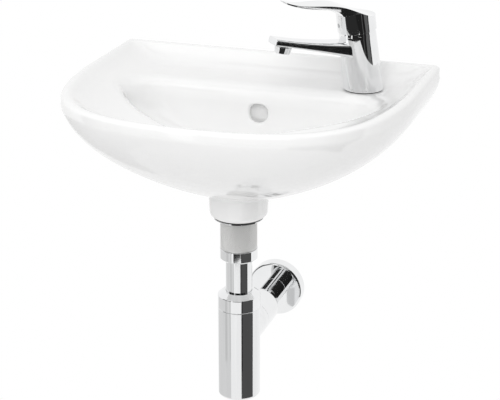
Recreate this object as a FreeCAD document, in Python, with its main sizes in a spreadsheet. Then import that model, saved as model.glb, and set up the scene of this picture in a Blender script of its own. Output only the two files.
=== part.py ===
import FreeCAD, Part
import math
import os
import re
import Sketcher

# Wall-hung hand basin with a single-lever tap, a push-open waste and a bottle trap.
# X runs to the right, +Y into the wall, +Z up, in millimetres.
# The origin lies on the wall plane, midway between the two fixing holes.

Vector = FreeCAD.Vector
Rotation = FreeCAD.Rotation
doc = FreeCAD.newDocument("washbasin")
sheet = doc.addObject("Spreadsheet::Sheet", "dims")

SIZES = {
    # Ceramic basin. A drop is measured down from the rim's crest.
    "basin_w": 450, "basin_d": 372, "rim_up": 62, "rim_roll": 7, "crest_land": 1, "back_corner": 8,
    "tray_roll": 8, "tray_side": 54, "tray_back": 18, "crest_back": 6, "deck_drop": 26, "deck_t": 12,
    "skin_t": 11, "back_t": 14, "body_drop": 148, "keel_w": 60, "keel_d": 190, "flank_round": 0.75,
    "bowl_w": 340, "bowl_back": 92, "bowl_front": 295, "bowl_drop": 122, "bowl_corner": 40, "bowl_lip": 12,
    "floor_w": 104, "floor_back": 124, "floor_front": 222,
    "boss_r": 40, "boss_low_r": 38, "boss_drop": 177, "boss_round": 7,
    "tap_edge": 92.3, "tap_y": 53, "tap_hole_r": 17.5, "overflow_r": 13, "overflow_drop": 62,
    "shaft_w": 28, "shaft_d": 13, "shaft_wall": 6, "shaft_drop": 143, "duct_h": 8, "duct_wall": 12,
    "fix_span": 190, "fix_hole_r": 7, "window_x": 36, "window_w": 106, "window_d": 62,
    # Waste with its push-open plug.
    "waste_y": 172, "waste_hole_r": 23, "seat_r": 34, "seat_t": 2, "seat_gasket_t": 2,
    "flange_r": 33, "flange_t": 2.5, "tail_r": 20.9, "tail_bore_r": 18.5, "slot_r": 4, "slot_drop": 140,
    "low_gasket_t": 1.2, "low_gasket_r": 32, "washer_t": 1.3, "washer_r": 33,
    "sleeve_r": 24.3, "sleeve_h": 42.5, "edge_round": 0.6,
    "plug_r": 31, "plug_t": 5, "plug_round": 2, "plug_lift": 7, "plug_seal_r": 17.6, "plug_seal_t": 3,
    "plug_stem_r": 3, "plug_stem_l": 48, "guide_drop": 152, "guide_h": 6, "guide_ring_t": 2,
    "hub_r": 8, "spoke_t": 3, "click_r": 5, "click_l": 32, "click_floor": 3,
    # Bottle trap and outlet.
    "coupling_r": 25, "coupling_low_r": 22, "coupling_chamfer": 2.5, "coupling_h": 16, "coupling_lip": 2,
    "coupling_seal_t": 3, "tail_in": 9, "tube_r": 17.5, "tube_wall": 1, "dip_l": 172, "collar_t": 2,
    "bottle_r": 28.3, "bottle_wall": 2.3, "topnut_drop": 283, "topnut_h": 24, "topnut_slope": 6,
    "topnut_top_r": 21, "topnut_lip": 6.5, "topseal_t": 5, "neck_r": 25, "neck_wall": 2.2,
    "bottle_l": 85, "cup_h": 44, "cup_floor": 3, "cup_round": 4, "spigot_h": 12, "spigot_wall": 2,
    "cupseal_t": 1.5, "seam_lip": 0.8, "seam_round": 0.8,
    "branch_drop": 347.4, "branch_r": 20, "collar_r": 25, "outnut_r": 25, "outnut_tip_r": 18.4,
    "outnut_cone": 18, "outnut_near": 60, "outnut_l": 60, "outnut_lip": 8, "outnut_round": 4,
    "outseal_t": 10,
    "pipe_r": 16, "pipe_wall": 1, "pipe_in": 100, "pipe_out": 40, "spigot_r": 15.8,
    "rosette_r": 39.7, "rosette_h": 16.5, "rosette_wall": 1.2, "rosette_round": 3,
    # Tap body, fixing and aerator. Heights run from the tap's foot.
    "tap_yaw": 48, "tap_lean": 8, "foot_gasket_t": 1.5, "foot_r": 26.5, "pin_up": 72.5,
    "dome_r": 24.4, "dome_up": 7.5, "dome_eye_r": 15, "collar_wall": 2.6, "bore_r": 17.7, "seat_up": 44,
    "spout_root_x": 10, "spout_root_up": 54, "spout_root_w": 36, "spout_root_h": 24,
    "spout_mid_x": 60, "spout_mid_up": 62.5, "spout_mid_w": 30, "spout_mid_h": 13,
    "spout_tip_x": 131, "spout_tip_up": 77, "spout_tip_w": 26, "spout_tip_h": 9, "spout_way_r": 3,
    "spout_top_round": 0.8, "spout_low_round": 0.4,
    "inlet_r": 5, "inlet_l": 12, "inlet_x": 9.5, "inlet_y": 8, "port_r": 3,
    "stud_r": 4, "stud_x": -11, "stud_in": 12, "stud_l": 50,
    "clamp_r": 24, "clamp_gap": 27, "clamp_rubber_t": 3, "clamp_plate_t": 3, "tapnut_w": 13, "tapnut_h": 20,
    "aer_x": 115, "aer_face": 5.4, "aer_r": 11.5, "aer_low_r": 9.8, "aer_h": 9, "aer_neck_r": 9.5,
    "aer_neck_h": 4.5, "aer_bore_r": 8, "aer_seal_t": 0.9, "insert_t": 7, "insert_in": 0.8,
    # Ceramic disc cartridge. Heights run from the lever's pin.
    "cart_r": 17.5, "cart_wall": 1.5, "cart_top": 1.8, "cart_lip": 3, "cart_eye_r": 12,
    "rotor_r": 11.6, "rotor_top": 6, "rotor_flange_r": 15.5, "rotor_low": 6, "rotor_flange_t": 4.5,
    "rotor_slot_l": 17, "cartnut_top": 6, "cartnut_r": 17.6, "cartnut_eye_r": 12.3, "pin_r": 1.5,
    "pin_l": 22,
    "stem_w": 8, "stem_d": 7, "stem_top": 24, "stem_low": 5, "ball_r": 2.6, "ball_low": 9, "neck_w": 3,
    "coupler_r": 12, "coupler_top": 6.4, "coupler_t": 5.8, "disc_t": 3.2, "base_disc_t": 3.4,
    "base_disc_r": 15.6,
    "port_x": 4, "port_y": 8, "port_seal_r": 4.6, "port_seal_t": 1.5, "pocket_gap": 0.5,
    # Lever. Heights run from the lever's pin.
    "cap_r": 25.5, "cap_rim_up": 8.5, "cap_hollow_r": 25, "cap_back_up": 27, "cap_front_up": 47,
    "cap_front_x": 27,
    "lever_reach": 101, "lever_tip_up": 72, "lever_neck_x": 94, "lever_neck_up": 67, "lever_tip_t": 2,
    "lever_root_up": 40, "lever_root_round": 4, "lever_mid_x": 50, "lever_mid_up": 50, "lever_tip_r": 11,
    "socket_w": 15, "socket_d": 13, "socket_low": 10.5, "socket_top": 27,
    "screw_r": 2.4, "screw_up": 19, "screw_l": 8, "cover_r": 3, "cover_l": 3,
    # Clearances.
    "slip": 0.2, "thread_gap": 0.1, "run_gap": 0.05, "fit_gap": 0.1, "move_gap": 0.4,
}

for row, (alias, value) in enumerate(SIZES.items(), start=1):
    sheet.set("A%d" % row, alias)
    sheet.set("B%d" % row, str(value))
    sheet.setAlias("B%d" % row, alias)
doc.recompute()

size = {alias: float(sheet.get(alias)) for alias in SIZES}
finished = []


# Shared helpers: a text such as "rim_up - boss_drop" names cells of the sheet.

def cells(text):
    def named(word):
        return word.group(0) if word.group(0) in ("sin", "cos", "deg") else "dims." + word.group(0)

    return re.sub(r"[a-z][a-z0-9_]*", named, text)


def place(item, at=("0", "0", "0"), turn=Rotation()):
    item.Placement = FreeCAD.Placement(Vector(), turn)
    for axis, text in zip("xyz", at):
        item.setExpression("Placement.Base." + axis, cells(text))
    return item


def done(item):
    finished.append(item)
    return item


def origin_plane(body, role):
    return next(item for item in body.Origin.OriginFeatures if item.Role == role)


def pin_corner(sketch, index, kind, axis, text, guess):
    if text == "0":
        sketch.addConstraint(Sketcher.Constraint("PointOnObject", index, 1, axis))
        return
    number = sketch.addConstraint(Sketcher.Constraint(kind, -1, 1, index, 1, guess))
    sketch.setExpression("Constraints[%d]" % number, cells(text))


def turned(label, corners, at=("0", "0", "0"), turn=Rotation(), rounds=()):
    """A turned piece: corners are (radius, height) texts round its half section, rounds are (corner,
    radius)."""
    body = doc.addObject("PartDesign::Body", label)
    sketch = body.newObject("Sketcher::SketchObject", label + "_section")
    sketch.AttachmentSupport = (origin_plane(body, "XZ_Plane"), [""])
    sketch.MapMode = "FlatFace"
    count = len(corners)
    step = 2 * math.pi / count
    guess = [Vector(40 + 20 * math.cos(k * step), 40 + 20 * math.sin(k * step), 0) for k in range(count)]
    for k in range(count):
        sketch.addGeometry(Part.LineSegment(guess[k], guess[(k + 1) % count]), False)
    for k in range(count):
        sketch.addConstraint(Sketcher.Constraint("Coincident", k, 2, (k + 1) % count, 1))
    for k, (radius, height) in enumerate(corners):
        pin_corner(sketch, k, "DistanceX", -2, radius, guess[k].x)
        pin_corner(sketch, k, "DistanceY", -1, height, guess[k].y)
    feature = body.newObject("PartDesign::Revolution", label + "_turned")
    feature.Profile = sketch
    feature.ReferenceAxis = (sketch, ["V_Axis"])
    feature.Angle = 360.0
    doc.recompute()
    for corner, radius in rounds:
        spot = sketch.Geometry[corner].StartPoint
        names = []
        for number, edge in enumerate(feature.Shape.Edges, start=1):
            if isinstance(edge.Curve, Part.Circle):
                near_radius = abs(edge.Curve.Radius - spot.x) < 1e-4
                if near_radius and abs(edge.Curve.Center.z - spot.y) < 1e-4:
                    names.append("Edge%d" % number)
        fillet = body.newObject("PartDesign::Fillet", "%s_round%d" % (label, corner))
        fillet.Base = (feature, names)
        fillet.setExpression("Radius", cells(radius))
        doc.recompute()
        feature = fillet
    return place(body, at, turn)


def ring(label, inner, outer, height, at=("0", "0", "0"), turn=Rotation()):
    return turned(label, [(inner, "0"), (outer, "0"), (outer, height), (inner, height)], at, turn)


def cylinder(name, radius, height, at=("0", "0", "0"), turn=Rotation()):
    item = doc.addObject("Part::Cylinder", name)
    item.setExpression("Radius", cells(radius))
    item.setExpression("Height", cells(height))
    return place(item, at, turn)


def block(name, length, width, height, at=("0", "0", "0"), turn=Rotation()):
    """A box centred on its place in X and Y and standing on it in Z."""
    item = doc.addObject("Part::Box", name)
    item.setExpression("Length", cells(length))
    item.setExpression("Width", cells(width))
    item.setExpression("Height", cells(height))
    x, y, z = at
    corner = ("%s - (%s) / 2" % (x, length), "%s - (%s) / 2" % (y, width), z)
    return place(item, corner, turn)


def form(name, shape):
    item = doc.addObject("Part::Feature", name)
    item.Shape = shape
    return item


def joined(label, pieces):
    item = doc.addObject("Part::MultiFuse", label)
    item.Shapes = pieces
    return item


def cut(label, base, tools):
    """The base less each tool in turn; only the last step bears the label."""
    for step, tool in enumerate(tools, start=1):
        item = doc.addObject("Part::Cut", label if step == len(tools) else "%s_step%d" % (label, step))
        item.Base = base
        item.Tool = tool
        base = item
    return base


def overlap(label, pieces):
    item = doc.addObject("Part::MultiCommon", label)
    item.Shapes = pieces
    return item


ALONG_X = Rotation(Vector(0, 1, 0), 90)
ALONG_Y = Rotation(Vector(1, 0, 0), -90)
FROM_WALL = Rotation(Vector(1, 0, 0), 90)


# Ceramic basin: one glazed casting. Its outside, tray and bowl are lofts through plan outlines.

def plan(drop, half, back, side, front, corner, full_side, full_front):
    """Outline seen from above: straight back, rounded back corners, straight sides and a curved front."""
    z = size["rim_up"] - drop
    lean = corner * math.sqrt(0.5)

    def spot(sign, x, y):
        return Vector(sign * x, -y, z)

    def half_outline(sign):
        middle = spot(sign, half - corner + lean, back + corner - lean)
        arc = Part.Arc(spot(sign, half - corner, back), middle, spot(sign, half, back + corner))
        straight = Part.LineSegment(spot(sign, half, back + corner), spot(sign, half, side))
        nose = Part.BezierCurve()
        reach = front - side
        nose.setPoles([spot(sign, half, side), spot(sign, half, side + reach * full_side),
                       spot(sign, half * full_front, front), spot(sign, 0, front)])
        return [arc.toShape(), straight.toShape(), nose.toShape()]

    across = Part.LineSegment(spot(-1, half - corner, back), spot(1, half - corner, back)).toShape()
    left = half_outline(-1)
    left.reverse()
    return Part.Wire([across] + half_outline(1) + left)


def loft(wires):
    """A smooth cubic skin through the outlines, closed at both ends."""
    return Part.makeLoft(wires, True, False, False, 3)


def blend(low, high, share):
    return low + (high - low) * share


def quarter_round(radius):
    """Steps of a rounded edge as (drop, inset), from its flat top to its upright side."""
    angles = [math.radians(angle) for angle in (90, 60, 30)]
    return [(radius * (1 - math.sin(angle)), radius * (1 - math.cos(angle))) for angle in angles]


def basin_outline(drop, inset, back):
    """The outside at a drop below the rim: upright under the rim, drawn in to a flat keel."""
    roll = size["rim_roll"]
    share = min(1.0, max(0.0, (drop - roll) / (size["body_drop"] - roll)))
    half = blend(size["keel_w"] / 2, size["basin_w"] / 2, (1 - share ** 2) ** size["flank_round"]) - inset
    front = blend(size["keel_d"], size["basin_d"], (1 - share ** 1.5) ** size["flank_round"]) - inset
    return plan(drop, half, back, 0.3 * front, front, size["back_corner"], 0.8, 0.7)


def outside_form():
    """The outside runs a little past the wall plane, where it is then cut flat."""
    past = -size["back_corner"] / 2
    wires = [basin_outline(drop, inset, past) for drop, inset in quarter_round(size["rim_roll"])]
    for share in (0, 0.15, 0.32, 0.5, 0.66, 0.8, 0.9, 0.96, 0.99, 1):
        wires.append(basin_outline(blend(size["rim_roll"], size["body_drop"], share), 0, past))
    return loft(wires)


def tray_form():
    """The sunk tray: a rounded inner edge, then a slope that hollows out to the flat deck."""
    start = size["rim_roll"] + size["crest_land"]
    roll = size["tray_roll"]
    steps = []
    for angle in (90, 68, 45):
        turn = math.radians(angle)
        steps.append((roll * (1 - math.sin(turn)), roll * math.cos(turn)))
    edge_drop, edge_inset = steps[-1]
    for share in (0.25, 0.5, 0.75, 0.92, 1):
        run = 0.5 * share + 0.5 * share ** 3
        steps.append((blend(edge_drop, size["deck_drop"], share),
                      blend(edge_inset, size["tray_side"], run)))
    wires = []
    for drop, inset in steps:
        half = size["basin_w"] / 2 - start - inset
        front = size["basin_d"] - start - inset
        back = size["crest_back"] + size["tray_back"] * inset / size["tray_side"]
        wires.append(plan(drop, half, back, 0.3 * front, front, size["rim_roll"] + inset / 2, 0.8, 0.7))
    return loft(wires)


def bowl_form(grow):
    """The bowl's space, from above the deck down, or with grow the ceramic wall that surrounds it."""
    lip = size["bowl_lip"]
    deck = size["deck_drop"]
    rounding = ((-0.75, 1.25), (-0.25, 0.75), (0.25, 0.35), (0.6, 0.12))
    steps = [(deck + lip * down, lip * out, 0.0) for down, out in rounding]
    for share in (0, 0.2, 0.4, 0.6, 0.78, 0.92, 1):
        steps.append((blend(deck + lip, size["bowl_drop"] + grow, share), 0.0, share))
    wires = []
    for drop, flare, share in steps:
        half = blend(size["floor_w"] / 2, size["bowl_w"] / 2, 1 - share ** 2.4) + flare + grow
        back = blend(size["bowl_back"], size["floor_back"], share ** 3.5) - flare - grow
        front = blend(size["floor_front"], size["bowl_front"], 1 - share ** 1.8) + flare + grow
        corner = size["bowl_corner"] + flare
        wires.append(plan(drop, half, back, back + corner + lip / 3, front, corner, 0.16, 0.36))
    return loft(wires)


def hollow_form():
    top = size["deck_drop"] + size["deck_t"]
    low = size["body_drop"] - size["skin_t"]
    wires = []
    for share in (0, 0.2, 0.4, 0.6, 0.8, 1):
        wires.append(basin_outline(blend(top, low, share), size["skin_t"], size["back_t"]))
    return loft(wires)


TAP_X = "basin_w / 2 - tap_edge"
outside = form("basin_outside", outside_form())
boss = turned("basin_boss", [("0", "0"), ("boss_low_r", "0"), ("boss_r", "boss_drop - body_drop + skin_t"),
                             ("0", "boss_drop - body_drop + skin_t")],
              ("0", "-waste_y", "rim_up - boss_drop"), rounds=[(1, "boss_round")])
tray = form("basin_tray", tray_form())
bowl = form("basin_bowl", bowl_form(0))
hollow_space = form("basin_hollow_space", hollow_form())
bowl_wall = form("basin_bowl_wall", bowl_form(size["skin_t"]))
waste_wall = cylinder("basin_waste_wall", "boss_r", "body_drop", ("0", "-waste_y", "rim_up - body_drop"))
duct_wall = block("basin_duct_wall", "shaft_w + 2 * duct_wall", "waste_y", "body_drop",
                  ("0", "-waste_y / 2 - bowl_back + shaft_d + duct_wall", "rim_up - body_drop"))
hollow = cut("basin_hollow", hollow_space, [bowl_wall, duct_wall, waste_wall])
behind_wall = block("basin_behind_wall", "2 * basin_w", "2 * back_corner", "2 * body_drop",
                    ("0", "back_corner", "rim_up - 1.5 * body_drop"))
tap_hole = cylinder("basin_tap_hole", "tap_hole_r", "deck_drop + deck_t",
                    (TAP_X, "-tap_y", "rim_up - deck_drop - deck_t - skin_t"))
overflow = cylinder("basin_overflow", "overflow_r", "bowl_back",
                    ("0", "-bowl_back - shaft_d", "rim_up - overflow_drop"), ALONG_Y)
overflow_end = block("basin_overflow_stop", "4 * overflow_r", "bowl_back", "4 * overflow_r",
                     ("0", "bowl_back / 2 - bowl_back + shaft_d",
                      "rim_up - overflow_drop - 2 * overflow_r"))
overflow_hole = cut("basin_overflow_hole", overflow, [overflow_end])
shaft = block("basin_overflow_shaft", "shaft_w", "shaft_d - shaft_wall",
              "shaft_drop - overflow_drop + overflow_r",
              ("0", "-bowl_back + (shaft_d + shaft_wall) / 2", "rim_up - shaft_drop"))
duct = block("basin_overflow_duct", "shaft_w", "waste_y - bowl_back + shaft_d", "duct_h",
             ("0", "-(waste_y + bowl_back - shaft_d) / 2", "rim_up - shaft_drop"))
waste_hole = cylinder("basin_waste_hole", "waste_hole_r", "boss_drop - bowl_drop + skin_t",
                      ("0", "-waste_y", "rim_up - boss_drop - skin_t / 2"))
waste_seat = cylinder("basin_waste_seat", "seat_r + slip", "seat_t + skin_t",
                      ("0", "-waste_y", "rim_up - bowl_drop - seat_t"))
basin_tools = [tray, bowl, behind_wall, hollow, tap_hole, overflow_hole, shaft, duct, waste_hole,
               waste_seat]
for side, sign in (("left", "-"), ("right", "")):
    basin_tools.append(cylinder("basin_fixing_" + side, "fix_hole_r", "back_t + skin_t",
                                (sign + "fix_span / 2", "-back_t - skin_t / 2", "0"), ALONG_Y))
    basin_tools.append(block("basin_window_" + side, "window_w", "window_d",
                             "body_drop - deck_drop - deck_t",
                             (sign + "(window_x + window_w / 2)", "-back_t - window_d / 2",
                              "rim_up - body_drop - skin_t")))
done(cut("basin", joined("basin_casting", [outside, boss]), basin_tools))


# Waste: flanged tail through the basin's boss, two gaskets, washer and knurled sleeve nut.

WASTE = ("0", "-waste_y")
SEAT = "rim_up - bowl_drop - seat_t"
BOSS = "rim_up - boss_drop"
SLEEVE_TOP = BOSS + " - low_gasket_t - washer_t"
COUPLING_TOP = SLEEVE_TOP + " - sleeve_h"
TAIL_END = COUPLING_TOP + " - tail_in"
FLANGE_UP = "(boss_drop - bowl_drop - seat_t + low_gasket_t + washer_t + sleeve_h + tail_in + seat_gasket_t)"
FLANGE_TOP = SEAT + " + seat_gasket_t + flange_t"

done(ring("waste_seat_gasket", "waste_hole_r", "flange_r", "seat_gasket_t", WASTE + (SEAT,)))
tail = turned("waste_flange_turned", [
    ("tail_bore_r", "0"), ("tail_r", "0"), ("tail_r", FLANGE_UP), ("flange_r", FLANGE_UP),
    ("flange_r", FLANGE_UP + " + flange_t"), ("tail_bore_r", FLANGE_UP + " + flange_t")],
    WASTE + (TAIL_END,), rounds=[(4, "flange_t / 2")])
slots = [cylinder("waste_slot_across", "slot_r", "4 * tail_r",
                  ("0 - 2 * tail_r", "-waste_y", "rim_up - slot_drop"), ALONG_X),
         cylinder("waste_slot_along", "slot_r", "4 * tail_r",
                  ("0", "-waste_y - 2 * tail_r", "rim_up - slot_drop"), ALONG_Y)]
done(cut("waste_flange", tail, slots))
done(ring("waste_low_gasket", "tail_r + fit_gap", "low_gasket_r", "low_gasket_t",
          WASTE + (BOSS + " - low_gasket_t",)))
done(ring("waste_washer", "tail_r + fit_gap", "washer_r", "washer_t", WASTE + (SLEEVE_TOP,)))
done(turned("waste_sleeve_nut", [
    ("tail_r + thread_gap", "0"), ("sleeve_r", "0"), ("sleeve_r", "sleeve_h"),
    ("tail_r + thread_gap", "sleeve_h")],
    WASTE + (COUPLING_TOP,), rounds=[(1, "edge_round"), (2, "edge_round")]))

# Push-open plug: cap, seal and stem slide in a click unit that a spoked guide holds in the tail.

CAP_LOW = FLANGE_TOP + " + plug_lift + move_gap"
GUIDE = "rim_up - guide_drop"
done(turned("plug_cap", [("0", "0"), ("plug_r", "0"), ("plug_r", "plug_t"), ("0", "plug_t")],
            WASTE + (CAP_LOW,), rounds=[(2, "plug_round")]))
done(ring("plug_seal", "plug_stem_r + fit_gap", "plug_seal_r", "plug_seal_t",
          WASTE + (CAP_LOW + " - plug_seal_t",)))
done(cylinder("plug_stem", "plug_stem_r", "plug_stem_l", WASTE + (CAP_LOW + " - plug_stem_l",)))
guide_ring = ring("plug_guide_ring", "tail_bore_r - guide_ring_t", "tail_bore_r - fit_gap", "guide_h",
                  WASTE + (GUIDE,))
guide_hub = cylinder("plug_guide_hub", "hub_r", "guide_h", WASTE + (GUIDE,))
spoke_a = block("plug_guide_spoke_a", "2 * tail_bore_r - guide_ring_t", "spoke_t", "guide_h",
                WASTE + (GUIDE,))
spoke_b = block("plug_guide_spoke_b", "spoke_t", "2 * tail_bore_r - guide_ring_t", "guide_h",
                WASTE + (GUIDE,))
guide_eye = cylinder("plug_guide_eye", "click_r + fit_gap", "3 * guide_h", WASTE + (GUIDE + " - guide_h",))
done(cut("plug_guide", joined("plug_guide_cross", [guide_ring, guide_hub, spoke_a, spoke_b]), [guide_eye]))
done(turned("plug_click_unit", [
    ("0", "0"), ("click_r", "0"), ("click_r", "click_l - guide_h / 3"), ("hub_r", "click_l - guide_h / 3"),
    ("hub_r", "click_l"),
    ("plug_stem_r + move_gap", "click_l"), ("plug_stem_r + move_gap", "click_floor"), ("0", "click_floor")],
    WASTE + (GUIDE + " + guide_h + guide_h / 3 - click_l",)))


# Bottle trap: coupling nut, dip tube, top nut, bottle with branch, screwed cup, outlet pipe and rosette.

COUPLING_LOW = COUPLING_TOP + " - coupling_h"
COLLAR_LOW = COUPLING_LOW + " + coupling_lip"
TOPNUT_LOW = "rim_up - topnut_drop - topnut_h"
BOTTLE_LOW = TOPNUT_LOW + " - bottle_l"
NECK_UP = "topnut_h - topnut_lip - topseal_t"

done(turned("trap_coupling_nut", [
    ("tube_r + slip", "0"), ("coupling_low_r", "0"), ("coupling_r", "coupling_chamfer"),
    ("coupling_r", "coupling_h"),
    ("tail_r + thread_gap", "coupling_h"), ("tail_r + thread_gap", "coupling_lip"),
    ("tube_r + slip", "coupling_lip")],
    WASTE + (COUPLING_LOW,), rounds=[(2, "edge_round"), (3, "edge_round")]))
done(ring("trap_coupling_seal", "tube_r - tube_wall", "tail_r", "coupling_seal_t",
          WASTE + (TAIL_END + " - coupling_seal_t",)))
done(turned("trap_inlet_tube", [
    ("tube_r - tube_wall", "0"), ("tube_r", "0"), ("tube_r", "dip_l"), ("tail_r", "dip_l"),
    ("tail_r", "dip_l + collar_t"),
    ("tube_r - tube_wall", "dip_l + collar_t")], WASTE + (COLLAR_LOW + " - dip_l",)))
done(turned("trap_top_nut", [
    ("neck_r + thread_gap", "0"), ("bottle_r", "0"), ("bottle_r", "topnut_h - topnut_slope"),
    ("topnut_top_r", "topnut_h"),
    ("tube_r + slip", "topnut_h"), ("tube_r + slip", "topnut_h - topnut_lip"),
    ("neck_r + thread_gap", "topnut_h - topnut_lip")],
    WASTE + (TOPNUT_LOW,), rounds=[(1, "seam_round"), (2, "topnut_slope / 4"), (3, "topnut_slope / 7")]))
done(ring("trap_top_seal", "tube_r + fit_gap", "neck_r", "topseal_t",
          WASTE + (TOPNUT_LOW + " + " + NECK_UP,)))

bottle_skin = turned("trap_bottle_skin", [
    ("0", "0"), ("bottle_r", "0"), ("bottle_r", "bottle_l"), ("neck_r", "bottle_l"),
    ("neck_r", "bottle_l + " + NECK_UP), ("0", "bottle_l + " + NECK_UP)],
    WASTE + (BOTTLE_LOW,), rounds=[(2, "seam_round")])
bottle_space = turned("trap_bottle_space", [
    ("0", "0"), ("bottle_r - bottle_wall", "0"), ("bottle_r - bottle_wall", "bottle_l - bottle_wall"),
    ("neck_r - neck_wall", "bottle_l - bottle_wall"), ("neck_r - neck_wall", "bottle_l + " + NECK_UP),
    ("0", "bottle_l + " + NECK_UP)], WASTE + (BOTTLE_LOW,))
OUTLET_UP = "rim_up - branch_drop"
branch_collar = cylinder("trap_branch_collar", "collar_r", "waste_y - outnut_near - outnut_l",
                         WASTE + (OUTLET_UP,), ALONG_Y)
branch = cylinder("trap_branch", "branch_r", "waste_y - outnut_near - outnut_lip - outseal_t",
                  WASTE + (OUTLET_UP,), ALONG_Y)
branch_bore = cylinder("trap_branch_bore", "pipe_r + slip", "waste_y", WASTE + (OUTLET_UP,), ALONG_Y)
bottle_casting = joined("trap_bottle_casting", [bottle_skin, branch_collar, branch])
done(cut("trap_bottle", bottle_casting, [bottle_space, branch_bore]))
done(turned("trap_cup", [
    ("0", "0"), ("bottle_r", "0"), ("bottle_r", "cup_h"), ("bottle_r - seam_lip", "cup_h"),
    ("bottle_r - seam_lip", "cup_h - cupseal_t"),
    ("bottle_r - bottle_wall - thread_gap", "cup_h - cupseal_t"),
    ("bottle_r - bottle_wall - thread_gap", "cup_h + spigot_h"),
    ("bottle_r - bottle_wall - spigot_wall", "cup_h + spigot_h"),
    ("bottle_r - bottle_wall - spigot_wall", "cup_floor"), ("0", "cup_floor")],
    WASTE + (BOTTLE_LOW + " - cup_h",), rounds=[(1, "cup_round")]))
done(ring("trap_cup_seal", "bottle_r - bottle_wall", "bottle_r - seam_lip - fit_gap", "cupseal_t",
          WASTE + (BOTTLE_LOW + " - cupseal_t",)))

done(turned("outlet_nut", [
    ("pipe_r + slip", "0"), ("outnut_tip_r", "0"), ("outnut_r", "outnut_cone"), ("outnut_r", "outnut_l"),
    ("branch_r + thread_gap", "outnut_l"), ("branch_r + thread_gap", "outnut_lip"),
    ("pipe_r + slip", "outnut_lip")],
    ("0", "-outnut_near", OUTLET_UP), FROM_WALL, rounds=[(2, "outnut_round"), (3, "edge_round")]))
done(ring("outlet_seal", "pipe_r + fit_gap", "branch_r", "outseal_t",
          ("0", "-outnut_near - outnut_lip", OUTLET_UP), FROM_WALL))
done(turned("outlet_pipe", [
    ("pipe_r - pipe_wall", "0"), ("spigot_r", "0"), ("spigot_r", "pipe_out"), ("pipe_r", "pipe_out"),
    ("pipe_r", "pipe_in + pipe_out"), ("pipe_r - pipe_wall", "pipe_in + pipe_out")],
    ("0", "pipe_out", OUTLET_UP), FROM_WALL))
done(turned("wall_rosette", [
    ("rosette_r - rosette_wall", "0"), ("rosette_r", "0"), ("rosette_r", "rosette_h"),
    ("pipe_r + slip", "rosette_h"),
    ("pipe_r + slip", "rosette_h - rosette_wall"),
    ("rosette_r - rosette_wall", "rosette_h - rosette_wall")],
    ("0", "0", OUTLET_UP), FROM_WALL, rounds=[(2, "rosette_round")]))


# Tap: leaning barrel with a rising spout, one chromed casting that stands on the deck.
# In the tap's own frame x points along the spout and heights run from the foot.

YAW = Rotation(Vector(0, 0, 1), -90 - size["tap_yaw"])
LEAN = Rotation(Vector(0, 1, 0), size["tap_lean"])
TILTED = YAW.multiply(LEAN)
RISE = math.atan2(size["spout_tip_up"] - size["spout_mid_up"], size["spout_tip_x"] - size["spout_mid_x"])
ALONG_SPOUT = Rotation(Vector(0, 1, 0), 90 - math.degrees(RISE))
DOWN_SPOUT = Rotation(Vector(0, 1, 0), 180 - math.degrees(RISE))
FOOT_UP = "rim_up - deck_drop + foot_gasket_t"
FOOT = (TAP_X, "-tap_y", FOOT_UP)
UNDER_DECK = "-foot_gasket_t - deck_t"


def upright(x, up):
    """A place in the tap's upright frame, x along the spout."""
    return (TAP_X + " - (%s) * sin(tap_yaw * 1 deg)" % x, "0 - tap_y - (%s) * cos(tap_yaw * 1 deg)" % x,
            FOOT_UP + " + (%s)" % up)


def leaning(x, y, up):
    """A place in the cartridge's frame, which leans towards the spout."""
    sin_yaw = "sin(tap_yaw * 1 deg)"
    cos_yaw = "cos(tap_yaw * 1 deg)"
    forward = "((%s) * cos(tap_lean * 1 deg) + (%s) * sin(tap_lean * 1 deg))" % (x, up)
    height = "((%s) * cos(tap_lean * 1 deg) - (%s) * sin(tap_lean * 1 deg))" % (up, x)
    return (TAP_X + " - %s * %s + (%s) * %s" % (forward, sin_yaw, y, cos_yaw),
            "0 - tap_y - %s * %s - (%s) * %s" % (forward, cos_yaw, y, sin_yaw), FOOT_UP + " + " + height)


def sphere(name, radius, at):
    item = doc.addObject("Part::Sphere", name)
    item.setExpression("Radius", cells(radius))
    return place(item, at)


def spout_section(x, up, width, height):
    """A section square to the spout's run: flat sides, rounded above and crisper below."""
    half = width / 2
    tall = height / 2
    arcs = []
    for side, face in ((1, 1), (-1, 1), (-1, -1), (1, -1)):
        corner = tall * (size["spout_top_round"] if face > 0 else size["spout_low_round"])
        lean = corner * math.sqrt(0.5)
        start = Vector(0, side * half, face * (tall - corner))
        middle = Vector(0, side * (half - corner + lean), face * (tall - corner + lean))
        end = Vector(0, side * (half - corner), face * tall)
        if side * face < 0:
            start, end = end, start
        arcs.append((start, middle, end))
    edges = []
    for k, (start, middle, end) in enumerate(arcs):
        edges.append(Part.Arc(start, middle, end).toShape())
        edges.append(Part.LineSegment(end, arcs[(k + 1) % 4][0]).toShape())
    wire = Part.Wire(edges)
    wire.rotate(Vector(), Vector(0, 1, 0), -math.degrees(RISE))
    wire.translate(Vector(x, 0, up))
    return wire


def spout_form():
    wires = []
    for spot in ("spout_root", "spout_mid", "spout_tip"):
        wires.append(spout_section(size[spot + "_x"], size[spot + "_up"], size[spot + "_w"],
                                   size[spot + "_h"]))
    solid = loft(wires)
    end_from = size["spout_tip_x"] - size["spout_tip_h"]
    end_edges = [edge for edge in solid.Edges if edge.BoundBox.XMin > end_from]
    return solid.makeFillet(size["spout_tip_h"] / 8, end_edges)


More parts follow.
